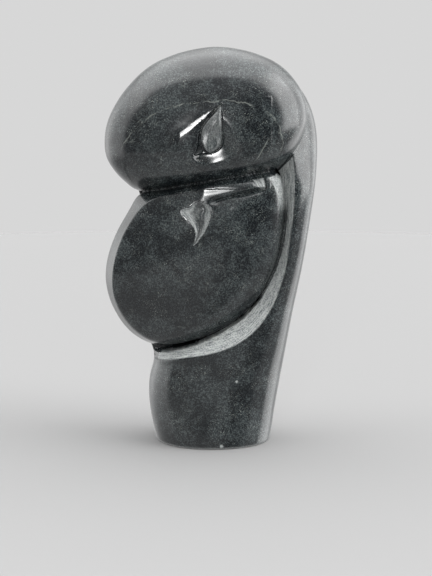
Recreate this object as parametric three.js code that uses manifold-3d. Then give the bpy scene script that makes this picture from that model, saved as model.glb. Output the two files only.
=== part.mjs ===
// A couple carved from one block of dark serpentine. A cloaked body stands on a small flat foot and
// opens on its front in a bevelled hollow. A broad head rests on top of it, and a second, egg-shaped
// head lies in the hollow below. Sizes are in millimetres, with Z up and the carved faces towards -Y.
// The origin is at the middle of the object's bounding box, on the ground.
import * as THREE from "three";
import Module from "manifold-3d";
import { mergeVertices } from "three/addons/utils/BufferGeometryUtils.js";

const STONE = { color: 0x2c3437, roughness: 0.22, metalness: 0 };

// Each mass is drawn twice, as on the faces of the block before carving: front is its outline in
// [x, z] and side its profile in [y, z], each joined by a smooth closed curve. Level sections, turned
// by tilt degrees, fill both drawings. Square and sweep are numbers, or lists of [height, number]: a
// higher square makes the sections squarer, and sweep skews them, so that the right side lies further
// back.
const CLOAK = {
  front: [
    [16, 335], [-12, 332], [-38, 323], [-61, 305], [-75, 282], [-80, 257], [-74, 236], [-62, 222],
    [-60, 208], [-68, 185], [-75, 160], [-75, 135], [-68, 112], [-56, 91], [-48, 76], [-53, 63],
    [-55, 42], [-53, 22], [-48, 0], [-38, -30], [5, -50], [44, -28], [52, 0], [57, 32], [64, 72],
    [71, 113], [79, 155], [86, 200], [91, 240], [92, 264], [88, 285], [80, 302], [66, 317], [43, 330],
  ],
  side: [
    [4, 335], [-15, 329], [-30, 311], [-39, 283], [-43, 240], [-45, 180], [-45, 120], [-44, 70],
    [-44, 30], [-45, 0], [-38, -36], [2, -50], [35, -36], [43, 0], [46, 40], [48, 90], [50, 150],
    [51, 210], [50, 255], [46, 288], [38, 311], [23, 329],
  ],
  square: [[0, 2.1], [60, 2.3], [120, 3.4], [160, 4.5], [225, 4.5], [262, 2.8], [335, 2.6]],
  tilt: 0,
  sweep: [[225, 0], [262, 0.12]],
  around: 52,
  levels: 26,
};

const UPPER_HEAD = {
  front: [
    [5, 341], [-16, 338.5], [-35, 333], [-52, 324.5], [-69, 309], [-80, 294], [-87.5, 278], [-90, 262],
    [-88.5, 249], [-83, 239], [-73, 228], [-62, 220], [-48, 219], [-20, 223.5], [25, 230], [44, 232.5],
    [54, 234.5], [61.5, 241.5], [69, 250.5], [76, 262], [80.5, 274], [81.5, 285], [78, 301],
    [70, 314.5], [58, 326], [42, 334], [24, 339],
  ],
  side: [
    [-2, 341], [-20, 337.5], [-36, 329], [-47.5, 317], [-55.5, 301], [-60, 284], [-62.3, 267],
    [-62.5, 252], [-60, 240], [-53, 230.5], [-40, 223], [-20, 219], [5, 219], [22, 229], [32, 250],
    [36, 280], [32, 308], [19, 330],
  ],
  square: 2.5,
  tilt: 8,
  sweep: 0,
  around: 56,
  levels: 24,
};

const LOWER_HEAD = {
  front: [
    [-62, 217.5], [-73.5, 198.5], [-84, 178.5], [-90.3, 158], [-91.5, 147], [-90.5, 136], [-83.8, 116],
    [-72, 98.5], [-63, 91.5], [-54.5, 87], [-46, 84.5], [-36, 84], [-15, 89.5], [9, 100.5], [30, 116],
    [46.5, 136.5], [57.8, 160], [63.2, 186], [65, 213.6], [63.8, 223.5], [60.5, 232], [53.5, 238],
    [45, 240], [36.9, 239], [3.4, 233], [-34.4, 226],
  ],
  side: [
    [-12, 238], [-30, 237], [-41, 234], [-47.5, 229], [-50.5, 222], [-52.5, 213], [-54.3, 195],
    [-55, 175], [-54, 155], [-51.5, 135], [-48, 118], [-43, 102], [-36, 90.5], [-24, 84], [-8, 81],
    [4, 84], [14, 98], [20, 125], [22, 160], [20, 195], [13, 217], [3, 229],
  ],
  square: 2.9,
  tilt: 7.5,
  sweep: 0,
  around: 52,
  levels: 24,
};

// A recess has an outer line on the stone's face and an inner line sunk below it, point by point
// opposite each other, and a wall slopes from one to the other. Its depth is a number, or a list of
// [height, number].
const HOLLOW = {
  outer: [
    [66, 262], [69.5, 248], [70.5, 228], [70, 206], [68, 189], [66, 172], [63.5, 156], [60, 143], [55, 129],
    [48, 116], [40, 105.5], [30, 96.5], [18, 89.5], [6, 85], [-9, 81.5], [-26, 78.5], [-41, 75], [-56, 73],
    [-92, 74], [-110, 160], [-100, 240], [-20, 262],
  ],
  inner: [
    [40, 250], [55, 240], [61, 229], [63, 214], [63.2, 203], [61.2, 187], [58.8, 171], [56, 159], [52, 146],
    [44, 128], [34, 115.5], [25, 107.5], [13, 100], [-1, 92], [-16, 86], [-31, 81.5], [-45, 79], [-58, 79],
    [-88, 82], [-106, 160], [-96, 234], [-20, 246],
  ],
  depth: [[110, 9], [180, 14]],
  floor: -3, // the y of the hollow's flat bottom, out of sight behind the head
};

const EYE_PIT = {
  outer: [
    [10, 296], [-7, 284], [-19, 273], [-20, 258], [-8, 248], [8, 243], [21, 249], [27, 262], [20, 279],
  ],
  inner: [
    [9.2, 292], [0, 285], [-8, 275], [-11, 262], [-4.5, 253.5], [4, 255.5], [9.5, 260.5], [11.5, 268],
    [10, 279],
  ],
  depth: 3.5,
};

const EYE = {
  outline: [
    [9, 292], [9.6, 280], [10.8, 268], [8.8, 261], [3.5, 256.5], [-4, 254.5], [-9.4, 258],
    [-10.2, 265], [-8.3, 273], [-3, 281.5],
  ],
  middle: [2, 267],
  proud: 2.6, // over the face of the head
};

const BROW = {
  outer: [
    [-8, 212], [0, 216], [14, 221.5], [30, 226], [46, 228.5], [47, 221], [36, 212], [24, 204], [8, 202],
    [-4, 206],
  ],
  inner: [
    [-1, 211.5], [4, 213.5], [14, 217], [28, 220.5], [43, 223], [44, 222], [30, 218.5], [18, 215], [8, 211],
    [0, 210],
  ],
  depth: 5,
};

const BELL = {
  outer: [
    [-24.5, 206.5], [-17, 210.5], [-9, 213.5], [-1.5, 212], [0.2, 205], [-2, 196], [-6, 188], [-12, 181],
    [-15, 187], [-19, 197],
  ],
  inner: [
    [-20, 205.5], [-15.5, 208], [-9, 211], [-5, 210], [-4.5, 205], [-6.5, 197], [-9, 190], [-12, 184.5],
    [-13.5, 188.5], [-16, 196],
  ],
  depth: 2.6,
};

const WALL_STEPS = 96; // points around a recess
const GROUND_BOX = 400;
const OUTSIDE = -90; // the y of a plane in front of the whole object
const PROUD = 0.4; // how far a cutting tool starts outside the face it cuts
const BACK_SQUARE = 2.6; // the back is never squarer than this

const wasm = await Module();
wasm.setup();

const mix = (a, b, t) => a + (b - a) * t;
const held = (value, low, high) => Math.min(Math.max(value, low), high);

// The number at a height, by straight steps along a list, or the same number at every height.
function numberAt(list, height) {
  if (!Array.isArray(list)) return list;
  const next = list.findIndex(([h]) => h > height);
  if (next === 0) return list[0][1];
  if (next < 0) return list.at(-1)[1];
  const [[h0, n0], [h1, n1]] = [list[next - 1], list[next]];
  return mix(n0, n1, (height - h0) / (h1 - h0));
}

function closedCurve(points) {
  return new THREE.CatmullRomCurve3(points.map(([x, z]) => new THREE.Vector3(x, 0, z)), true);
}

// Rings of points joined into a closed skin, with one point at each end.
function skin(startPole, rings, endPole) {
  const count = rings[0].length;
  const places = [startPole, ...rings.flat(), endPole];
  const at = (ring, i) => 1 + ring * count + (i % count);
  const faces = [];
  for (let i = 0; i < count; i++) {
    faces.push(0, at(0, i), at(0, i + 1));
    for (let ring = 0; ring + 1 < rings.length; ring++) {
      faces.push(at(ring, i), at(ring + 1, i), at(ring + 1, i + 1));
      faces.push(at(ring, i), at(ring + 1, i + 1), at(ring, i + 1));
    }
    faces.push(places.length - 1, at(rings.length - 1, i + 1), at(rings.length - 1, i));
  }
  return new THREE.BufferGeometry().setFromPoints(places).setIndex(faces);
}

// A closed geometry as a solid, turned right side out if its faces point inwards.
function solid(geometry) {
  const bare = geometry.clone();
  bare.deleteAttribute("normal");
  bare.deleteAttribute("uv");
  const merged = mergeVertices(bare);
  const mesh = new wasm.Mesh({
    numProp: 3,
    vertProperties: merged.attributes.position.array,
    triVerts: new Uint32Array(merged.index.array),
  });
  const made = new wasm.Manifold(mesh);
  if (made.volume() > 0) return made;
  mesh.triVerts.reverse();
  return new wasm.Manifold(mesh);
}

// A closed drawing as its two edges at each share of its height.
function edgesOf(points) {
  const line = closedCurve(points).getSpacedPoints(600);
  const heights = line.map((p) => p.z);
  const low = Math.min(...heights);
  const high = Math.max(...heights);
  const at = (share) => {
    const z = mix(low, high, held(share, 0.0005, 0.9995));
    const crossings = line.slice(1).flatMap((b, i) => {
      const a = line[i];
      return a.z > z !== b.z > z ? [mix(a.x, b.x, (z - a.z) / (b.z - a.z))] : [];
    });
    return [Math.min(...crossings), Math.max(...crossings)];
  };
  return { low, high, at };
}

// Sections of a mass: place() gives a point of its skin, face() the y of its front at [x, z].
function carve(form) {
  const turn = THREE.MathUtils.degToRad(form.tilt);
  const [cos, sin] = [Math.cos(turn), Math.sin(turn)];
  const front = edgesOf(form.front.map(([x, z]) => [x * cos + z * sin, z * cos - x * sin]));
  const side = edgesOf(form.side);
  const section = (share) => {
    const [left, right] = front.at(share);
    const [near, far] = side.at(share);
    const v = mix(front.low, front.high, share);
    return {
      u: (left + right) / 2, y: (near + far) / 2, v, wide: (right - left) / 2, deep: (far - near) / 2,
      square: numberAt(form.square, v), sweep: numberAt(form.sweep, v),
    };
  };
  const place = (share, angle) => {
    const { u, y, v, wide, deep, square, sweep } = section(share);
    const power = Math.sin(angle) < 0 ? square : Math.min(square, BACK_SQUARE);
    const rounded = (value) => Math.sign(value) * Math.abs(value) ** (2 / power);
    const across = wide * rounded(Math.cos(angle));
    const depth = y + sweep * across + deep * rounded(Math.sin(angle));
    return new THREE.Vector3((u + across) * cos - v * sin, depth, (u + across) * sin + v * cos);
  };
  const face = (x, z) => {
    const share = (z * cos - x * sin - front.low) / (front.high - front.low);
    const { u, y, wide, deep, square, sweep } = section(share);
    const across = x * cos + z * sin - u;
    const out = (1 - held(Math.abs(across) / wide, 0, 1) ** square) ** (1 / square);
    return y + sweep * across - deep * out;
  };
  return { place, face };
}

// The levels lie closer together towards the top and the bottom, where the mass rounds off.
function mass(form) {
  const { place } = carve(form);
  const shares = Array.from({ length: form.levels }, (_, i) => {
    return (1 - Math.cos((Math.PI * (i + 1)) / (form.levels + 1))) / 2;
  });
  const angles = Array.from({ length: form.around }, (_, i) => (i / form.around) * Math.PI * 2);
  const rings = shares.map((share) => angles.map((angle) => place(share, angle)));
  return solid(skin(place(0, 0), rings, place(1, 0)));
}

// The tool that cuts a recess. Behind the inner line it is domed, or runs straight in to a floor.
function recess(form, face) {
  const outer = closedCurve(form.outer);
  const inner = closedCurve(form.inner);
  const ring = (curve, depthAt) => Array.from({ length: WALL_STEPS }, (_, i) => {
    const p = curve.getPoint(i / WALL_STEPS);
    return new THREE.Vector3(p.x, depthAt(p.x, p.z), p.z);
  });
  const sunk = (x, z) => face(x, z) + numberAt(form.depth, z);
  const rings = [
    ring(outer, () => OUTSIDE),
    ring(outer, (x, z) => face(x, z) - PROUD),
    ring(inner, form.floor === undefined ? sunk : (x, z) => Math.min(sunk(x, z), form.floor - 1)),
  ];
  if (form.floor !== undefined) rings.push(ring(inner, () => form.floor));
  const middle = rings.at(-1).reduce((sum, p) => sum.add(p), new THREE.Vector3()).divideScalar(WALL_STEPS);
  const bottom = form.floor ?? sunk(middle.x, middle.z);
  return solid(skin(new THREE.Vector3(middle.x, OUTSIDE, middle.z), rings, middle.clone().setY(bottom)));
}

// The almond eye: a low dome on a drop-shaped outline, rooted in the head.
function eye(face) {
  const outline = closedCurve(EYE.outline);
  const [cx, cz] = EYE.middle;
  const around = 44;
  const root = EYE_PIT.depth + 3;
  const ring = (share, rise) => Array.from({ length: around }, (_, i) => {
    const p = outline.getPoint(i / around);
    const [x, z] = [mix(cx, p.x, share), mix(cz, p.z, share)];
    return new THREE.Vector3(x, face(x, z) + root - rise * (root + EYE.proud), z);
  });
  const steps = [0, 18, 36, 54, 72].map(THREE.MathUtils.degToRad);
  const rings = [ring(1, 0), ring(1, 0.3), ...steps.map((a) => ring(Math.cos(a), 0.55 + 0.45 * Math.sin(a)))];
  const at = (y) => new THREE.Vector3(cx, y, cz);
  return solid(skin(at(face(cx, cz) + root), rings, at(face(cx, cz) - EYE.proud)));
}

function sculpture() {
  const ground = new THREE.BoxGeometry(GROUND_BOX, GROUND_BOX, GROUND_BOX).translate(0, 0, GROUND_BOX / 2);
  const cloak = mass(CLOAK).intersect(solid(ground)).subtract(recess(HOLLOW, carve(CLOAK).face));
  const lowerFace = carve(LOWER_HEAD).face;
  const lowerHead = mass(LOWER_HEAD).subtract(recess(BROW, lowerFace)).subtract(recess(BELL, lowerFace));
  const upperFace = carve(UPPER_HEAD).face;
  const upperHead = mass(UPPER_HEAD).subtract(recess(EYE_PIT, upperFace)).add(eye(upperFace));
  const whole = cloak.add(lowerHead).add(upperHead).getMesh();

  const geometry = new THREE.BufferGeometry();
  geometry.setAttribute("position", new THREE.BufferAttribute(whole.vertProperties, whole.numProp));
  geometry.setIndex(new THREE.BufferAttribute(whole.triVerts, 1));
  geometry.computeBoundingBox();
  const { x, y } = geometry.boundingBox.getCenter(new THREE.Vector3());
  geometry.translate(-x, -y, 0);
  const made = new THREE.Mesh(geometry, new THREE.MeshStandardMaterial(STONE));
  made.name = "couple_sculpture";
  return made;
}

const root = new THREE.Group();
root.add(sculpture());

export default root;
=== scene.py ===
# A couple carved from one block of dark serpentine: a cloaked body on a small flat foot, a broad head
# on top of it, and an egg-shaped head lying in the hollow of its front.
import math

import bpy
import numpy as np
from bpy.props import FloatProperty, FloatVectorProperty, PointerProperty
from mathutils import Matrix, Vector


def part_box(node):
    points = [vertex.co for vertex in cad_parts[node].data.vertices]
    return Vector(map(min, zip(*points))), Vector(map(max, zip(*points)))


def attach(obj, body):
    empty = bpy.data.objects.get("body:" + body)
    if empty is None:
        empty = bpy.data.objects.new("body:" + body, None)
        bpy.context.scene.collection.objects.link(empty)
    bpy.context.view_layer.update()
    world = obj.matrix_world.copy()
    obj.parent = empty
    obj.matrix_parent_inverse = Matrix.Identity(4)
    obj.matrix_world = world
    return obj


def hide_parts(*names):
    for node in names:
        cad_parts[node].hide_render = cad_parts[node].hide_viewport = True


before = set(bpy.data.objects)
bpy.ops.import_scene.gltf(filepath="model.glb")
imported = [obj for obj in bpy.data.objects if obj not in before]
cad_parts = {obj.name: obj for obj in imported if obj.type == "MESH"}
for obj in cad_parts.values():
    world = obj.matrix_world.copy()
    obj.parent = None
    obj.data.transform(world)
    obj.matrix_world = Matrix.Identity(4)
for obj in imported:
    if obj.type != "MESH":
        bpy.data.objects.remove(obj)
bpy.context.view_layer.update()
NODE = "couple_sculpture"
MM = 0.001
AROUND = 88  # places around a level of a mass
LEVELS = 44  # levels of a mass
BACK_SQUARE = 2.6  # the most that the back of a mass is squared

bl_info = {
    "name": "Carved Stone Couple",
    "version": (1, 0, 0),
    "blender": (4, 5, 0),
    "location": "3D View > Sidebar > Couple",
    "description": "Carves an abstract couple from one block of polished serpentine",
    "category": "Add Mesh",
}

# Drawings, in millimetres. A mass is drawn twice, from the front in (x, z) and from the side in (y, z).
CLOAK = {
    "front": [
        (16, 335), (-12, 332), (-38, 323), (-61, 305), (-75, 282), (-80, 257), (-74, 236), (-62, 222),
        (-60, 208), (-68, 185), (-75, 160), (-75, 135), (-68, 112), (-56, 91), (-48, 76), (-53, 63),
        (-55, 42), (-53, 22), (-48, 0), (-38, -30), (5, -50), (44, -28), (52, 0), (57, 32), (64, 72),
        (71, 113), (79, 155), (86, 200), (91, 240), (92, 264), (88, 285), (80, 302), (66, 317), (43, 330),
    ],
    "side": [
        (4, 335), (-15, 329), (-30, 311), (-39, 283), (-43, 240), (-45, 180), (-45, 120), (-44, 70),
        (-44, 30), (-45, 0), (-38, -36), (2, -50), (35, -36), (43, 0), (46, 40), (48, 90), (50, 150),
        (51, 210), (50, 255), (46, 288), (38, 311), (23, 329),
    ],
    "tilt": 0,
    "square": [(0, 2.1), (60, 2.3), (120, 3.4), (160, 4.5), (225, 4.5), (262, 2.8), (335, 2.6)],
    "sweep": [(225, 0), (262, 0.12)],
}
UPPER_HEAD = {
    "front": [
        (5, 341), (-16, 338.5), (-35, 333), (-52, 324.5), (-69, 309), (-80, 294), (-87.5, 278),
        (-90, 262), (-88.5, 249), (-83, 239), (-73, 228), (-62, 220), (-48, 219), (-20, 223.5),
        (25, 230), (44, 232.5), (54, 234.5), (61.5, 241.5), (69, 250.5), (76, 262), (80.5, 274),
        (81.5, 285), (78, 301), (70, 314.5), (58, 326), (42, 334), (24, 339),
    ],
    "side": [
        (-2, 341), (-20, 337.5), (-36, 329), (-47.5, 317), (-55.5, 301), (-60, 284), (-62.3, 267),
        (-62.5, 252), (-60, 240), (-53, 230.5), (-40, 223), (-20, 219), (5, 219), (22, 229), (32, 250),
        (36, 280), (32, 308), (19, 330),
    ],
    "tilt": 8,
    "square": [(219, 2.5)],
    "sweep": [(219, 0)],
}
LOWER_HEAD = {
    "front": [
        (-62, 217.5), (-68, 208), (-73.5, 198.5), (-79.6, 188), (-84, 178.5), (-87.7, 168.5), (-90.3, 158),
        (-91.5, 147), (-90.5, 136), (-87.8, 125.5), (-83.8, 116), (-79, 107.5), (-72, 98.5), (-63, 91.5),
        (-54.5, 87), (-46, 84.5), (-36, 84), (-26, 86), (-15, 89.5), (-3, 94), (9, 100.5), (20, 107.5),
        (30, 116), (39, 126), (46.5, 136.5), (53, 148), (57.8, 160), (61, 172.5), (63.2, 186), (64.6, 200),
        (65, 213.6), (63.8, 223.5), (60.5, 232), (53.5, 238), (45, 240), (36.9, 239), (20, 235.5),
        (3.4, 233), (-17.6, 229.5), (-34.4, 226), (-51, 222),
    ],
    "side": [
        (-12, 238), (-30, 237), (-41, 234), (-47.5, 229), (-50.5, 222), (-52.5, 213), (-54.3, 195), (-55, 175),
        (-54, 155), (-51.5, 135), (-48, 118), (-43, 102), (-36, 90.5), (-24, 84), (-8, 81), (4, 84),
        (14, 98), (20, 125), (22, 160), (20, 195), (13, 217), (3, 229),
    ],
    "tilt": 7.5,
    "square": [(81, 2.9)],
    "sweep": [(81, 0)],
}
# The rim around the lower head's face, point by point inside the front drawing.
FACE_RIM = [
    (-54, 211.9), (-60, 206), (-66, 197.8), (-71.5, 188.7), (-75.8, 179.5), (-79.5, 169), (-82, 158.5),
    (-83.3, 147), (-82.8, 137), (-80.3, 127), (-76.5, 118.3), (-71.5, 110.5), (-65, 103), (-57, 96.5),
    (-49.5, 92.5), (-42, 90), (-33, 89.2), (-24, 90.5), (-13.5, 93.5), (-2.5, 97.8), (9, 103.7),
    (19.5, 110.3), (29, 118.5), (37.5, 128), (43.5, 137.5), (47.5, 148), (51, 160), (53.5, 173),
    (55.5, 187), (56.6, 200.5), (56.2, 212), (54, 222), (50.8, 228.2), (46.5, 233), (41, 235),
    (34, 233.8), (18, 230.5), (2, 228.5), (-17, 225.5), (-32, 221.5), (-46, 216.2),
]

# The hollow of the cloak: its bevel runs from the crest, on the cloak's face, down to the throat.
CREST = [
    (66, 262), (69.5, 248), (70.5, 228), (70, 206), (68, 189), (66, 172), (63.5, 156), (60, 143),
    (55, 129), (48, 116), (40, 105.5), (30, 96.5), (18, 89.5), (6, 85), (-9, 81.5), (-26, 78.5),
    (-41, 75), (-56, 73), (-92, 74), (-110, 160), (-100, 240), (-20, 262),
]
THROAT = [
    (40, 250), (55, 240), (61, 229), (63, 214), (63.2, 203), (61.2, 187), (58.8, 171), (55.5, 159),
    (51.2, 146.5), (42.8, 129.3), (32.5, 117), (23.6, 109.2), (11.9, 101.7), (-2, 94), (-16.7, 88),
    (-31.5, 83.5), (-45, 80), (-58, 79), (-88, 82), (-106, 160), (-96, 234), (-20, 246),
]
HOLLOW_FLOOR = -3  # y of the hollow's bottom, out of sight behind the lower head
OUTSIDE = -90  # y of a plane in front of the whole stone

# The upper head's almond eye in its pit, its lid and the line of its jaw.
EYE_LEFT = [
    (8.7, 293.9), (4.6, 289.5), (1.4, 285.5), (-2.3, 281.4), (-5.1, 277.4), (-7, 273.4), (-7.7, 269.3),
    (-7.8, 265.3), (-6.5, 261.2), (-5.2, 258.4), (-2.7, 255.5), (0.1, 254.3),
]
EYE_RIGHT = [
    (8.7, 293.9), (8.5, 289.5), (8.4, 285.5), (8.7, 281.4), (9.1, 277.4), (9.3, 273.4), (9.5, 269.3),
    (9.3, 265.3), (8.5, 261.2), (6.6, 258.4), (3.4, 256), (0.1, 254.3),
]
EYE_PIT = [
    (9.3, 294.7), (9.6, 287.9), (10, 281.4), (10.5, 275), (10.9, 269.3), (11, 264.5), (9.9, 260.4),
    (7.5, 257.2), (3.4, 254.7), (-2.3, 253.4), (-8.8, 252.9), (-13.7, 253.1), (-12.1, 256.4),
    (-11, 260.4), (-10.6, 265.3), (-10, 270.1), (-8.8, 274.2), (-6.8, 278.2), (-4.3, 281.8),
    (-1.1, 285.9), (3, 290.4), (6.6, 293.5),
]
EYE_SHARES = [0, 0.04, 0.1, 0.2, 0.32, 0.55, 0.78, 0.92, 1]  # across the eye, from its left edge
EYE_RISES = [0, 2.4, 2.95, 3.27, 3.62, 3.6, 3.0, 2.0, 0.2]
BOWL = [
    (9.1, 295.6), (14, 284), (19.8, 272), (25.5, 261), (26.3, 251.8), (19, 245), (5.8, 241.7),
    (-7.3, 243.3), (-15.5, 250), (-20, 258), (-19, 268), (-12, 278), (-2, 288),
]
BOWL_DEPTH = 6.5  # the deepest that the bowl around the eye may be, at the edge of the pit
LID_WIDTH = 3.6  # of the flat cut along the lid
LEAN = (-0.044, 0.14)  # how far the flat cuts on the upper head lean back, to the right and upwards
BROW_LEAN = (-0.01, 0.14)
LID = [
    (-26.7, 270.5), (-23.4, 272.7), (-19.3, 275.4), (-16.9, 277.4), (-12.8, 280.6), (-8.8, 283.6),
    (-4.7, 286.4), (-0.7, 288.8), (3, 290.9), (7.5, 294),
]
JAW = [
    (-62.6, 225.4), (-66.5, 230.8), (-69.1, 235.6), (-70.6, 239.9), (-70.8, 244.2), (-70.2, 248.4),
    (-69, 250.9), (-66.4, 252.6), (-62.1, 253.3), (-53.8, 252.8), (-41.5, 252.7), (-29.3, 252.8),
    (-21.1, 253.2), (-12.9, 253.4),
]

# The lower head's brow, with the slope below it and the cut at its end, and its bell-shaped eye.
BROW = [
    (-3.2, 211.3), (0.9, 213), (7.5, 215.4), (15.8, 217.8), (24, 219.6), (32.3, 221.2), (38.9, 222.9),
    (45.4, 223.8),
]
SLOPE = [
    (-2.4, 209.7), (-0.3, 205.6), (4.2, 202.3), (11.6, 201), (19.1, 202.3), (22, 205.6), (24.9, 209.3),
    (28.6, 212.5), (32.3, 215), (37.2, 216.6), (44.2, 219.7), (45.8, 222.5),
]
TEMPLE_LEFT = [(29.8, 236.2), (33.1, 232.7), (36.4, 229), (38.9, 226.1), (41.8, 223.2)]
TEMPLE_RIGHT = [(37.2, 237.6), (40.5, 236), (43.4, 233.1), (45.1, 228.6), (45.7, 223.2)]
BELL_RIGHT = [
    (-9.8, 214.1), (-6.5, 213.4), (-3.2, 212), (-0.7, 209.1), (0.1, 205), (-0.5, 200), (-2.4, 194.2),
    (-4.9, 189.2), (-8.2, 184.2), (-11.5, 180), (-14.9, 176.7),
]
BELL_LEFT = [
    (-9.8, 214.1), (-13.9, 212.4), (-17.2, 209.5), (-21.4, 208.7), (-24.3, 205.4), (-20.6, 200.4),
    (-17.3, 196.3), (-14, 191.7), (-12.8, 186.7), (-13.6, 181.7), (-14.9, 176.7),
]

CHIPS = [(9.3, 3.1, 1.8), (22.1, 59.3, 1.3), (-32.3, 81.8, 1.2)]  # small chips: across, up and radius


def smooth(low, high, values):
    share = np.clip((values - low) / (high - low), 0, 1)
    return share * share * (3 - 2 * share)


def mix(a, b, share):
    return a + (b - a) * share


def alone(piece):
    """Selects one object and makes it active."""
    for other in bpy.context.selected_objects:
        other.select_set(False)
    piece.select_set(True)
    bpy.context.view_layer.objects.active = piece


def applied(piece, kind, **settings):
    """Adds a modifier and applies it."""
    alone(piece)
    modifier = piece.modifiers.new(kind.title(), kind)
    for name, value in settings.items():
        setattr(modifier, name, value)
    bpy.ops.object.modifier_apply(modifier=modifier.name)


def places_of(piece):
    places = np.empty(len(piece.data.vertices) * 3)
    piece.data.vertices.foreach_get("co", places)
    return places.reshape(-1, 3)


def set_places(piece, places):
    piece.data.vertices.foreach_set("co", places.ravel())
    piece.data.update()


def drawn(points, closed=True, steps=10):
    """A smooth curve through a drawing's points, as an array of places."""
    if closed:
        bpy.ops.curve.primitive_bezier_circle_add()
    else:
        bpy.ops.curve.primitive_bezier_curve_add()
    curve = bpy.context.object
    spline = curve.data.splines[0]
    spline.bezier_points.add(len(points) - len(spline.bezier_points))
    for knot, (across, up) in zip(spline.bezier_points, points):
        knot.co = (across, 0, up)
        knot.handle_left_type = knot.handle_right_type = "AUTO"
    curve.data.dimensions = "3D"
    curve.data.resolution_u = steps
    alone(curve)
    bpy.ops.object.convert(target="MESH")
    line = places_of(curve)[:, [0, 2]]
    bpy.data.objects.remove(curve)
    return line


class Line:
    """A smooth line drawn on the front of the stone."""

    def __init__(self, points, closed=False):
        self.line = drawn(points, closed)
        if closed:
            self.line = np.vstack([self.line, self.line[:1]])

    def near(self, x, z):
        """How far places lie from the line, on which side (left is positive), and the share along it."""
        best = np.full(len(x), np.inf)
        side, along = np.zeros(len(x)), np.zeros(len(x))
        run = 0
        for (ax, az), (bx, bz) in zip(self.line[:-1], self.line[1:]):
            dx, dz = bx - ax, bz - az
            length = math.hypot(dx, dz)
            if length < 1e-6:
                continue
            share = np.clip(((x - ax) * dx + (z - az) * dz) / length**2, 0, 1)
            away_x, away_z = x - ax - share * dx, z - az - share * dz
            distance = np.hypot(away_x, away_z)
            closer = distance < best
            best[closer] = distance[closer]
            side[closer] = np.sign(dx * away_z - dz * away_x)[closer]
            along[closer] = run + share[closer] * length
            run += length
        return best, side, along / run

    def holds(self, x, z):
        """Which places lie inside a closed line."""
        inside = np.zeros(len(x), bool)
        for (ax, az), (bx, bz) in zip(self.line[:-1], self.line[1:]):
            if az != bz:
                inside ^= ((az > z) != (bz > z)) & (x < ax + (z - az) / (bz - az) * (bx - ax))
        return inside


class Between:
    """A patch between two lines that run the same way."""

    def __init__(self, first, second):
        self.first, self.second = Line(first), Line(second)
        self.edge = Line(first)
        self.edge.line = np.vstack([self.first.line, self.second.line[::-1], self.first.line[:1]])

    def near(self, x, z):
        """Which places the patch holds, their share from the first line to the second, and its width."""
        first, second = self.first.near(x, z)[0], self.second.near(x, z)[0]
        width = first + second
        return self.edge.holds(x, z), first / np.maximum(width, 1e-6), width


class Drawing:
    """A closed drawing, as its two edges at each share of its height."""

    def __init__(self, points):
        self.line = drawn(points)
        self.low, self.high = self.line[:, 1].min(), self.line[:, 1].max()

    def edges(self, share):
        up = mix(self.low, self.high, min(max(share, 0.0005), 0.9995))
        start, end = self.line, np.roll(self.line, -1, 0)
        crossing = (start[:, 1] > up) != (end[:, 1] > up)
        a, b = start[crossing], end[crossing]
        across = mix(a[:, 0], b[:, 0], (up - a[:, 1]) / (b[:, 1] - a[:, 1]))
        return across.min(), across.max()


class Mass:
    """One rounded mass: level sections that fill its front and its side drawing."""

    def __init__(self, form):
        self.form = form
        turn = math.radians(form["tilt"])
        self.cos, self.sin = math.cos(turn), math.sin(turn)
        self.front = Drawing([self.level(x, z) for x, z in form["front"]])
        self.side = Drawing(form["side"])

    def level(self, x, z):
        """A place in the mass's own upright frame."""
        return x * self.cos + z * self.sin, z * self.cos - x * self.sin

    def section(self, share):
        """Middle across, middle back, height, half width, half depth, squareness and sweep of a level."""
        left, right = self.front.edges(share)
        near, far = self.side.edges(share)
        height = mix(self.front.low, self.front.high, share)
        power, sweep = (np.interp(height, *np.array(self.form[name]).T) for name in ("square", "sweep"))
        return np.array([
            (left + right) / 2, (near + far) / 2, height, (right - left) / 2, (far - near) / 2, power, sweep,
        ])

    def sections(self, x, z):
        """For places seen from the front: the share across their level, its middle, depth and squareness."""
        across, up = self.level(x, z)
        shares = np.linspace(0, 1, 200)
        table = np.array([self.section(share) for share in shares])
        wanted = (up - self.front.low) / (self.front.high - self.front.low)
        u, y, _, wide, deep, power, sweep = (np.interp(wanted, shares, column) for column in table.T)
        return np.clip(np.abs(across - u) / wide, 0, 1), y + sweep * (across - u), deep, power

    def face(self, x, z):
        """How far forward the mass's front lies at places seen from the front."""
        across, middle, deep, power = self.sections(x, z)
        return middle - deep * (1 - across**power) ** (1 / power)

    def dome(self, x, z):
        """How far forward a low dome over the mass's front lies."""
        across, middle, deep, _ = self.sections(x, z)
        return middle - deep * (1 - 0.44 * np.minimum(across / 0.93, 1) ** 2.4)

    def build(self, name):
        """Skins the mass level by level, and leans it over."""
        angles = np.arange(AROUND) / AROUND * 2 * math.pi
        turn = np.stack([np.cos(angles), np.sin(angles)], 1)
        rings = []
        for share in (1 - np.cos(math.pi * np.arange(1, LEVELS + 1) / (LEVELS + 1))) / 2:
            u, y, height, wide, deep, power, sweep = self.section(share)
            powers = np.where(turn[:, 1:] < 0, power, min(power, BACK_SQUARE))
            across, back = (np.sign(turn) * np.abs(turn) ** (2 / powers)).T
            rings.append(np.stack([
                u + wide * across, y + deep * back + sweep * wide * across, np.full(AROUND, height),
            ], 1))
        piece = skin(name, rings)
        piece.rotation_euler.y = -math.radians(self.form["tilt"])
        alone(piece)
        bpy.ops.object.transform_apply(location=False, rotation=True, scale=False)
        applied(piece, "SUBSURF", levels=2, render_levels=2)
        return piece


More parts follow.
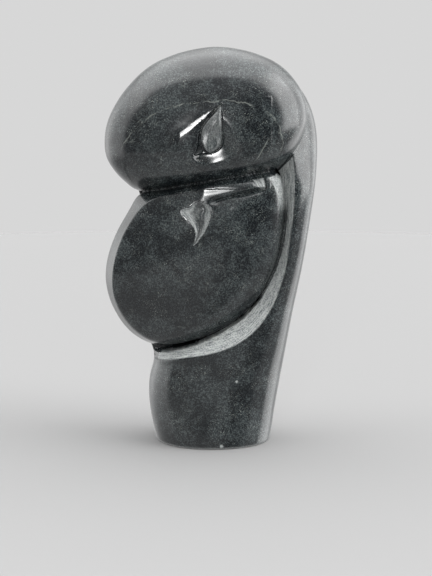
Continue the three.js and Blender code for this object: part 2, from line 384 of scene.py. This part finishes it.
def skin(name, rings):
    """A closed skin drawn ring by ring, from the first ring's cap to the last one's."""
    bpy.ops.mesh.primitive_circle_add(vertices=len(rings[0]), radius=1, fill_type="NGON")
    piece = bpy.context.object
    piece.name = name
    set_places(piece, rings[0] * MM)
    for ring in rings[1:]:
        bpy.ops.object.mode_set(mode="EDIT")
        bpy.ops.mesh.extrude_region()
        bpy.ops.object.mode_set(mode="OBJECT")
        places = places_of(piece)
        places[-len(ring):] = ring * MM
        set_places(piece, places)
    bpy.ops.object.mode_set(mode="EDIT")
    bpy.ops.mesh.select_all(action="SELECT")
    bpy.ops.mesh.normals_make_consistent(inside=False)
    bpy.ops.object.mode_set(mode="OBJECT")
    return piece


def at_depth(line, depth):
    """A line seen from the front, carried to a depth."""
    return np.stack([line[:, 0], np.broadcast_to(depth, len(line)), line[:, 1]], 1)


def length(name, description, default):
    return FloatProperty(name=name, description=description, default=default, min=0.0003, unit="LENGTH")


def color(name, description, default):
    return FloatVectorProperty(
        name=name, description=description, default=default, size=3, min=0, max=1, subtype="COLOR",
    )


class CoupleForm(bpy.types.PropertyGroup):
    step: length("Carving Step", "The finest step that the carving keeps", 0.00065)
    bevel: length("Bevel Depth", "How deep the bevel of the hollow runs", 0.009)
    foot: length("Foot Edge", "How far the edge under the foot is rounded", 0.0025)


class CoupleStone(bpy.types.PropertyGroup):
    dark: color("Dark", "The darkest stone", (0.002, 0.0035, 0.005))
    cloud: color("Clouds", "The paler clouds in the stone", (0.013, 0.017, 0.019))
    grain: color("Grain", "The fine grain", (0.075, 0.088, 0.088))
    vein: color("Veins", "The veins and the flecks", (0.3, 0.32, 0.29))
    # The tool marks' colours, the pale ridges most of all, are partly painted light: they are made paler than
    # tooled stone so that the bevel of the hollow looks lit.
    cut: color("Tool Cuts", "The hollows of the tool marks", (0.1, 0.115, 0.12))
    dust_and_painted_light: color("Tool Dust", "The ridges of the tool marks", (0.48, 0.5, 0.49))
    polish: FloatProperty(
        name="Roughness", description="Roughness of the polished stone", default=0.13, min=0, max=1,
        subtype="FACTOR",
    )


class CoupleStage(bpy.types.PropertyGroup):
    floor: color("Floor", "The floor", (0.2, 0.2, 0.2))
    key: FloatProperty(name="Lamp", description="Strength of the lamp", default=4, min=0, unit="POWER")
    backdrop: FloatProperty(name="Backdrop", description="Brightness behind the stone", default=0.68, min=0)


def carve_cloak(form):
    mass = Mass(CLOAK)
    piece = mass.build("cloak")
    bpy.ops.object.mode_set(mode="EDIT")
    bpy.ops.mesh.select_all(action="SELECT")
    bpy.ops.mesh.bisect(plane_co=(0, 0, 0), plane_no=(0, 0, 1), clear_inner=True, use_fill=True)
    bpy.ops.mesh.bevel(offset=form.foot, segments=4)
    bpy.ops.object.mode_set(mode="OBJECT")
    crest, throat = drawn(CREST), drawn(THROAT)
    face = mass.face(*crest.T)
    sunk = face + form.bevel / MM + 5 * smooth(110, 180, crest[:, 1])
    tool = skin("hollow", [
        at_depth(crest, OUTSIDE),
        at_depth(crest, face - 0.3),
        at_depth(throat, np.minimum(sunk, HOLLOW_FLOOR - 1)),
        at_depth(throat, HOLLOW_FLOOR),
    ])
    applied(piece, "BOOLEAN", operation="DIFFERENCE", object=tool, solver="EXACT")
    bpy.data.objects.remove(tool)
    return piece


def carve_lower_head():
    """The egg-shaped head: its face is a low dome inside a rim, and its back is round."""
    mass = Mass(LOWER_HEAD)
    outer, rim = drawn(LOWER_HEAD["front"], steps=2), drawn(FACE_RIM, steps=2)
    middle = rim.mean(0)
    _, waist, deep, _ = mass.sections(*outer.T)
    steps = (0.05, 0.2, 0.35, 0.5, 0.64, 0.77, 0.88, 0.95, 1)
    rings = [at_depth(line, mass.dome(*line.T)) for line in (mix(middle, rim, step) for step in steps)]
    edge, widest = rings[-1], at_depth(outer, waist)
    right = smooth(-20, 20, outer[:, :1])
    for left_out, right_out, right_back in ((0.35, 0.5, 0.18), (0.7, 0.85, 0.42)):
        out, back = mix(left_out, right_out, right), mix(left_out, right_back, right)
        rings.append(mix(edge, widest, np.hstack([out, back, out])))
    for share in (1, 0.97, 0.88, 0.7, 0.45, 0.15):
        out = (1 - share**2.9) ** (1 / 2.9)
        rings.append(at_depth(mix(middle, outer, share), waist + deep * out))
    piece = skin("lower_head", rings)
    places = places_of(piece) / MM
    ends = np.empty(len(piece.data.edges) * 2, dtype=np.int32)
    piece.data.edges.foreach_get("vertices", ends)
    ends = ends.reshape(-1, 2)
    first = (len(steps) - 1) * len(rim)
    on_rim = ((ends >= first) & (ends < first + len(rim))).all(1)
    x, z = places[ends].mean(1)[:, [0, 2]].T
    low = smooth(150, 118, z) * smooth(10, -20, x)
    top = smooth(214, 222, z) * smooth(-42, -34, x) * smooth(38, 30, x)
    crease = piece.data.attributes.new("crease_edge", "FLOAT", "EDGE")
    crease.data.foreach_set("value", np.where(on_rim, 1 - np.maximum(0.8 * low, top), 0))
    applied(piece, "SUBSURF", levels=2, render_levels=2)
    return piece


def flat_cut(face, x, z, at, height, lean=LEAN):
    """A flat cut through a place on a head's face, as heights above that face."""
    middle = face(*(np.array([value]) for value in at))
    return face(x, z) - middle - (x - at[0]) * lean[0] - (z - at[1]) * lean[1] + height


def upper_relief(x, z):
    """The eye, its lid, the bowl around it and the jaw, as heights above the upper head."""
    face = Mass(UPPER_HEAD).face
    eye = Between(EYE_LEFT, EYE_RIGHT)
    pit, bowl, lid, jaw = Line(EYE_PIT, True), Line(BOWL, True), Line(LID), Line(JAW)
    to_pit, to_bowl = pit.near(x, z)[0], bowl.near(x, z)[0]
    in_pit = pit.holds(x, z)
    to_lid, above, along = lid.near(x, z)
    crest = flat_cut(face, x, z, (-13, 277.5), 0.15) * smooth(1, 0.9, along)
    flank = crest * np.maximum(1 - to_lid / 4, 0) ** 2
    past = np.maximum(to_lid - LID_WIDTH, 0)
    plane = mix(crest, -0.7, past / np.maximum(past + to_pit, 1e-6))
    rise = np.where(above > 0, flank, plane * smooth(248, 256, z)) * smooth(-31, -24.5, x)
    near = np.where(in_pit, 1, bowl.holds(x, z) * to_bowl / np.maximum(to_bowl + to_pit, 1e-6))
    deep = -BOWL_DEPTH * smooth(284, 256, z) * np.where(near < 0.4, near**2 / 0.8, near - 0.2) / 0.8
    cut = -np.logaddexp(0, -flat_cut(face, x, z, (14, 246.5), 0) / 0.8) * 0.8
    deep = np.logaddexp(deep / 0.4, cut / 0.4) * 0.4
    left = smooth(-150, 150, (x - 9) * (253 - 294) - (z - 294) * (-11 - 9))
    height = mix(deep, rise, left)
    floor = mix(deep - 1, -2.6, left)
    height = np.where(in_pit, mix(height, floor, smooth(0, 1, to_pit)), height)
    inside, share, width = eye.near(x, z)
    leaf = np.interp(share, EYE_SHARES, EYE_RISES) * np.minimum(1, width / 9) ** 0.6
    leaf += mix(-2.6, deep - 0.6, share)
    leaf += 0.03 * (275 - z) + 0.0061 * np.maximum(275 - z, 0) ** 2
    height = np.where(inside, leaf, height)
    to_jaw, outside, along = jaw.near(x, z)
    ledge = -0.9 * (1 - smooth(0, 13, to_jaw)) * smooth(0, 0.15, along) * (1 - smooth(0.7, 1, along))
    return height + ledge * smooth(-0.7, 0.7, -outside * to_jaw)


def lower_relief(x, z):
    """The brow, the slope below it, the cut at the temple and the bell-shaped eye."""
    brow, slope = Line(BROW), Between(BROW, SLOPE)
    temple, bell = Between(TEMPLE_LEFT, TEMPLE_RIGHT), Between(BELL_LEFT, BELL_RIGHT)
    to_brow, above, along = brow.near(x, z)
    depth = 4.2 * smooth(0, 0.2, along)
    turn = 1 - np.minimum(to_brow / 4.5, 1)
    roll = flat_cut(Mass(LOWER_HEAD).dome, x, z, (4, 222), 1.3, BROW_LEAN)
    roll = -np.logaddexp(-roll / 0.4, -3.2 / 0.4) * 0.4
    roll *= smooth(0, 4, to_brow) * smooth(17, 13, to_brow) * smooth(-14, -5, x) * smooth(1, 0.8, along)
    under = roll - depth * (1 - np.sqrt(1 - turn**2))
    inside, share, _ = slope.near(x, z)
    below = np.where(inside, -depth * (1 - share) ** 2.2, 0)
    height = np.where(above > 0, under, below)
    inside, share, _ = temple.near(x, z)
    cut = mix(0.8, -1.7, share) + 0.4 * np.cos(share * 19)
    to_second, side, _ = temple.second.near(x, z)
    beside = np.where((side > 0) & (above > 0), -1.7 * (1 - smooth(0, 2, to_second)), height)
    height = np.where(inside, np.minimum(height, cut), beside)
    inside, share, width = bell.near(x, z)
    well = np.where(share < 0.6, np.abs(share / 0.6) ** 0.8, np.abs((1 - share) / 0.4) ** 0.7)
    return height - np.where(inside, 2.7 * np.minimum(1, width / 10) ** 0.8 * well, 0)


def carve_relief(piece):
    """Pushes the front of the stone in and out by the relief's heights."""
    places = places_of(piece)
    normals = np.empty(len(places) * 3)
    piece.data.vertex_normals.foreach_get("vector", normals)
    x, y, z = places.T / MM
    facing = smooth(0.1, 0.4, -normals.reshape(-1, 3)[:, 1])
    for low, high, relief in ((224, 300, upper_relief), (170, 240, lower_relief)):
        here = np.flatnonzero((facing > 0) & (y < -20) & (z > low) & (z < high) & (x > -75) & (x < 50))
        places[here, 1] -= relief(x[here], z[here]) * facing[here] * MM
    for across, up, radius in CHIPS:
        near = (np.hypot(x - across, z - up) / radius < 1) & (y < -20)
        places[near, 1] += 0.7 * (1 - np.hypot(x - across, z - up)[near] / radius) * MM
    set_places(piece, places)


def carve_block(form):
    """The whole couple as one closed skin, standing where the solid stands and inside its box."""
    masses = [carve_cloak(form), Mass(UPPER_HEAD).build("upper_head"), carve_lower_head()]
    alone(masses[0])
    for mass in masses:
        mass.select_set(True)
    bpy.ops.object.join()
    piece = bpy.context.object
    piece.name = "carved_couple"
    applied(piece, "REMESH", mode="VOXEL", voxel_size=form.step)
    applied(piece, "SMOOTH", factor=0.5, iterations=2)
    carve_relief(piece)
    applied(piece, "SMOOTH", factor=0.5, iterations=1)
    faces = sum(len(face.vertices) - 2 for face in piece.data.polygons)
    applied(piece, "DECIMATE", ratio=min(1, 195000 / faces), use_collapse_triangulate=True)
    places = places_of(piece)
    low, high = places.min(0), places.max(0)
    cad_low, cad_high = (np.array(corner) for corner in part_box(NODE))
    fit = np.minimum(1, (cad_high - cad_low) / (high - low))
    shift = (cad_low + cad_high - (low + high) * fit) / 2
    shift[2] = cad_low[2] - low[2] * fit[2]
    set_places(piece, places * fit + shift)
    bpy.ops.object.shade_smooth()
    return piece, shift / MM


class Socket:
    """A shader value that can be reckoned with."""

    tree = None

    def __init__(self, output):
        self.output = output

    @classmethod
    def node(cls, kind, inputs=None, output=0, **settings):
        """Adds a node, sets it and links what is linked."""
        node = cls.tree.nodes.new(kind)
        for name, value in settings.items():
            setattr(node, name, value)
        for name, value in (inputs or {}).items():
            if isinstance(value, Socket):
                cls.tree.links.new(value.output, node.inputs[name])
            else:
                node.inputs[name].default_value = value
        return cls(node.outputs[output])

    def math(self, operation, *others):
        values = dict(enumerate((self, *others)))
        return self.node("ShaderNodeMath", values, operation=operation)

    def __add__(self, other):
        return self.math("ADD", other)

    def __sub__(self, other):
        return self.math("SUBTRACT", other)

    def __mul__(self, other):
        if isinstance(other, tuple):
            return self.node("ShaderNodeVectorMath", {0: self, 1: other}, operation="MULTIPLY")
        return self.math("MULTIPLY", other)

    def __rsub__(self, other):
        return self * -1 + other

    __radd__ = __add__
    __rmul__ = __mul__

    def rise(self, low, high):
        """0 below one value, 1 above the other, smooth between."""
        span = {"Value": self, "From Min": low, "From Max": high}
        return self.node("ShaderNodeMapRange", span, interpolation_type="SMOOTHSTEP")

    def fall(self, low, high):
        """1 below one value, 0 above the other, smooth between."""
        return 1 - self.rise(low, high)

    def size(self):
        """The value without its sign."""
        return self.math("ABSOLUTE")

    def blend(self, first, second):
        """A colour between two, by this share."""
        colors = {"Factor": self, 6: first, 7: second}
        return self.node("ShaderNodeMix", colors, output=2, data_type="RGBA")


def mark(piece, name, kind, values):
    """Keeps a value for every place of a piece, for its material."""
    attribute = piece.data.attributes.new(name, kind, "POINT")
    key = "value" if kind == "FLOAT" else "vector"
    attribute.data.foreach_set(key, values.astype(np.float32).ravel())


def mark_tooling(piece, shift):
    """Marks where the stone was left rough from the tool, and how the tool's strokes run there. On the bevel
    of the hollow the pale mark is partly painted light, standing for the light that the bevel catches.
    """
    places = places_of(piece) / MM - shift
    x, y, z = places.T
    crest, rim = Line(CREST, True), Line(FACE_RIM, True)
    upper, lower = (Line(form["front"], True) for form in (UPPER_HEAD, LOWER_HEAD))
    front = (y < -18) & ~upper.holds(x, z)
    on_lower = front & lower.holds(x, z)
    to_crest, _, along = crest.near(x, z)
    bevel = front & ~on_lower & crest.holds(x, z)
    # The whole bevel is marked pale: its tool marks, and painted light for the light that the bevel catches.
    tooled = np.where(bevel, smooth(0, 1, to_crest), 0)
    to_rim = rim.near(x, z)[0]
    wall = on_lower & ~rim.holds(x, z) & (x > 15)
    rough = mix(0.1, 0.8, smooth(200, 216, z) * smooth(30, 40, x)) * smooth(0, 1, to_rim)
    tooled = np.where(wall, rough * smooth(15, 40, x), tooled)
    stroke = np.stack([to_crest, along * 600, np.zeros(len(x))], 1)
    patches = (
        (TEMPLE_LEFT, TEMPLE_RIGHT, on_lower, 0.5, 0),
        (BELL_LEFT, BELL_RIGHT, on_lower, 0.62, 0.8),
        (EYE_LEFT, EYE_RIGHT, (y < -18) & upper.holds(x, z), 0.22, 0),
    )
    for number, (first, second, where, much, hollow) in enumerate(patches):
        inside, share, width = Between(first, second).near(x, z)
        inside &= where
        middle = smooth(0.18, 0.42, share) * smooth(0.86, 0.62, share)
        cut = much * (1 - hollow * middle) * smooth(0, 0.8, share * width)
        tooled = np.where(inside, cut, tooled)
        across = np.stack([share * 8, 300 * (number + 1) + z, x * 0], 1)
        stroke = np.where(inside[:, None], across, stroke)
    tooled = np.maximum(tooled, 0.5 * smooth(2.6, 0.6, z))
    for across, up, radius in CHIPS:
        tooled = np.maximum(tooled, smooth(radius, radius * 0.6, np.hypot(x - across, z - up)) * (y < -20))
    mark(piece, "tooled", "FLOAT", tooled)
    mark(piece, "stroke", "FLOAT_VECTOR", stroke)


def serpentine(stone):
    """Dark polished serpentine: green-grey clouds, pale specks and thin veins, matte and pale where tooled,
    the bevel's paleness partly painted light.
    """
    dark, cloudy, grainy, veined, cut, dust_and_painted_light = (
        (*shade, 1) for shade in (stone.dark, stone.cloud, stone.grain, stone.vein, stone.cut, stone.dust_and_painted_light)
    )
    material = bpy.data.materials.new("serpentine")
    material.use_nodes = True
    Socket.tree = material.node_tree
    place = Socket.node("ShaderNodeTexCoord", output=3)
    split = Socket.node("ShaderNodeSeparateXYZ", {0: place})
    x, y, z = (Socket(output) for output in split.output.node.outputs)
    tooled = Socket.node("ShaderNodeAttribute", output=2, attribute_name="tooled")
    stroke = Socket.node("ShaderNodeAttribute", output=1, attribute_name="stroke")

    def noise(scale, detail=2.0, roughness=0.6, distortion=0.0, at=place):
        settings = {"Vector": at, "Scale": scale, "Detail": detail, "Roughness": roughness,
                    "Distortion": distortion}
        return Socket.node("ShaderNodeTexNoise", settings)

    broad = noise(36, 3, 0.55, 0.6)
    middle = noise(190, 4, 0.65, 0.4)
    fine = noise(850, 2, 0.65)
    cloud = broad * 0.55 + middle * 0.45
    shade = cloud.rise(0.42, 0.6).blend(dark, cloudy)
    grain = fine.rise(0.45, 0.66) * (0.3 + 0.7 * cloud.rise(0.42, 0.6))
    shade = (grain * 0.95).blend(shade, grainy)
    flecks = noise(1300, 1).rise(0.66, 0.72) * noise(60, 3).rise(0.45, 0.65)
    shade = (flecks * 0.9).blend(shade, veined)
    wander = (noise(60, 3) - 0.5) * 0.005
    seam = (y + z * 0.25 + (wander - 0.0225)).size().fall(0.00005, 0.00035) * noise(95, 3).rise(0.4, 0.56)
    spur = (x * 0.862 - z * 0.506 + (wander * 0.3 + 0.09385)).size().fall(0.0001, 0.0006)
    spur = spur * z.rise(0.247, 0.251) * z.fall(0.262, 0.268) * y.fall(-0.035, -0.03)
    hairs = (noise(34, 5, 0.55, 1.2) - 0.5).size().fall(0.0008, 0.005) * noise(120).rise(0.5, 0.62)
    vein = seam * z.rise(0.25, 0.262) * 0.35 + spur * 0.4 + hairs * 0.2
    shade = vein.blend(shade, veined)
    lines = noise(1, 3, 0.7, at=stroke * (1.9, 0.09, 1))
    marks = (lines * 0.6 + fine * 0.4).rise(0.38, 0.6)
    # Pale tool marks; on the bevel of the hollow their paleness is partly painted light.
    shade = tooled.blend(shade, marks.blend(cut, dust_and_painted_light))
    gloss = stone.polish + 0.1 * middle + 0.3 * tooled
    height = fine * 0.03 + (lines * 2 + fine) * tooled
    bump = Socket.node("ShaderNodeBump", {"Height": height, "Strength": 0.5, "Distance": 0.0003})
    bsdf = material.node_tree.nodes["Principled BSDF"]
    for name, value in (("Base Color", shade), ("Roughness", gloss), ("Normal", bump)):
        Socket.tree.links.new(value.output, bsdf.inputs[name])
    return material


class CARVING_OT_couple(bpy.types.Operator):
    """Carves the couple from one block and polishes it"""

    bl_idname = "carving.couple"
    bl_label = "Carve Couple"

    def execute(self, context):
        piece, shift = carve_block(context.scene.couple_form)
        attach(piece, "root")
        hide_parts(NODE)
        mark_tooling(piece, shift)
        piece.data.materials.clear()
        piece.data.materials.append(serpentine(context.scene.couple_stone))
        return {"FINISHED"}


def plain(name, shade, roughness):
    """A plain material."""
    material = bpy.data.materials.new(name)
    material.use_nodes = True
    bsdf = material.node_tree.nodes["Principled BSDF"]
    bsdf.inputs["Base Color"].default_value = (*shade, 1)
    bsdf.inputs["Roughness"].default_value = roughness
    return material


def studio_world(backdrop):
    """A studio bright overhead and at the sides, dark behind the camera, and plain where it is seen."""
    world = bpy.data.worlds.new("studio")
    world.use_nodes = True
    Socket.tree = world.node_tree
    way = Socket.node("ShaderNodeTexCoord")
    split = Socket.node("ShaderNodeSeparateXYZ", {0: way})
    across, back, up = (Socket(output) for output in split.output.node.outputs)
    right = across.rise(-0.3, 0.3)
    room = (back * -1 - (right * 0.18 + 0.33)).rise(-0.09, 0.09) * up.fall(0.88, 1)
    dim = 0.35 + 0.5 * up.rise(0.3, 0.8) + 0.45 * up.fall(-0.25, -0.1)
    dim = dim * (1 - 0.6 * across.rise(0.1, 0.45))
    window = 5.6 * across.rise(0.4, 0.75) * up.rise(-0.2, -0.04) * (1 - 0.6 * back.rise(0.1, 0.35))
    low_window = 2.4 * across.rise(0.5, 0.8) * back.rise(0.02, 0.16)
    low_window = low_window * up.fall(-0.2, -0.04) * up.rise(-0.6, -0.45)
    screen = 1.5 * across.fall(-0.8, -0.4) * up.rise(-0.45, -0.1)
    bright = 0.8 + 2.9 * up.rise(0.4, 0.88) + window + low_window + screen
    strength = bright * (1 - room) + dim * room
    seen = Socket.node("ShaderNodeLightPath")
    strength = strength * (1 - seen) + backdrop * seen
    background = Socket.tree.nodes["Background"]
    background.inputs["Color"].default_value = (1, 1, 1, 1)
    Socket.tree.links.new(strength.output, background.inputs["Strength"])
    return world


class CARVING_OT_stage(bpy.types.Operator):
    """Sets the floor, the lights and the camera"""

    bl_idname = "carving.stage"
    bl_label = "Set Stage"

    def execute(self, context):
        stage = context.scene.couple_stage
        bpy.ops.mesh.primitive_circle_add(vertices=96, radius=1.6, fill_type="NGON")
        floor = bpy.context.object
        floor.name = "floor"
        floor.data.materials.append(plain("floor", stage.floor, 0.9))
        floor.visible_glossy = False
        bpy.ops.object.camera_add(location=(0.0038, -1.18, 0.3213), rotation=(math.radians(81), 0, 0))
        camera = bpy.context.object
        camera.data.lens = 85.94
        context.scene.camera = camera
        bpy.ops.object.light_add(type="AREA", location=(-0.106, -1.26, 0.55))
        key = bpy.context.object
        key.data.energy = stage.key
        key.data.size = 0.13
        key.rotation_euler = (Vector((0, 0, 0.25)) - key.location).to_track_quat("-Z", "Y").to_euler()
        context.scene.world = studio_world(stage.backdrop)
        context.scene.view_settings.view_transform = "Standard"
        return {"FINISHED"}


class CARVING_PT_couple(bpy.types.Panel):
    bl_label = "Carved Couple"
    bl_space_type = "VIEW_3D"
    bl_region_type = "UI"
    bl_category = "Couple"

    def draw(self, context):
        for name, group in GROUPS.items():
            settings = getattr(context.scene, name)
            for setting in group.__annotations__:
                self.layout.prop(settings, setting)
        self.layout.operator("carving.couple")
        self.layout.operator("carving.stage")


GROUPS = {"couple_form": CoupleForm, "couple_stone": CoupleStone, "couple_stage": CoupleStage}
CLASSES = (*GROUPS.values(), CARVING_OT_couple, CARVING_OT_stage, CARVING_PT_couple)


def register():
    for cls in CLASSES:
        bpy.utils.register_class(cls)
    for name, group in GROUPS.items():
        setattr(bpy.types.Scene, name, PointerProperty(type=group))


def unregister():
    for name in GROUPS:
        delattr(bpy.types.Scene, name)
    for cls in reversed(CLASSES):
        bpy.utils.unregister_class(cls)


def main():
    register()
    bpy.ops.carving.couple()
    bpy.ops.carving.stage()


if __name__ == "__main__":
    main()
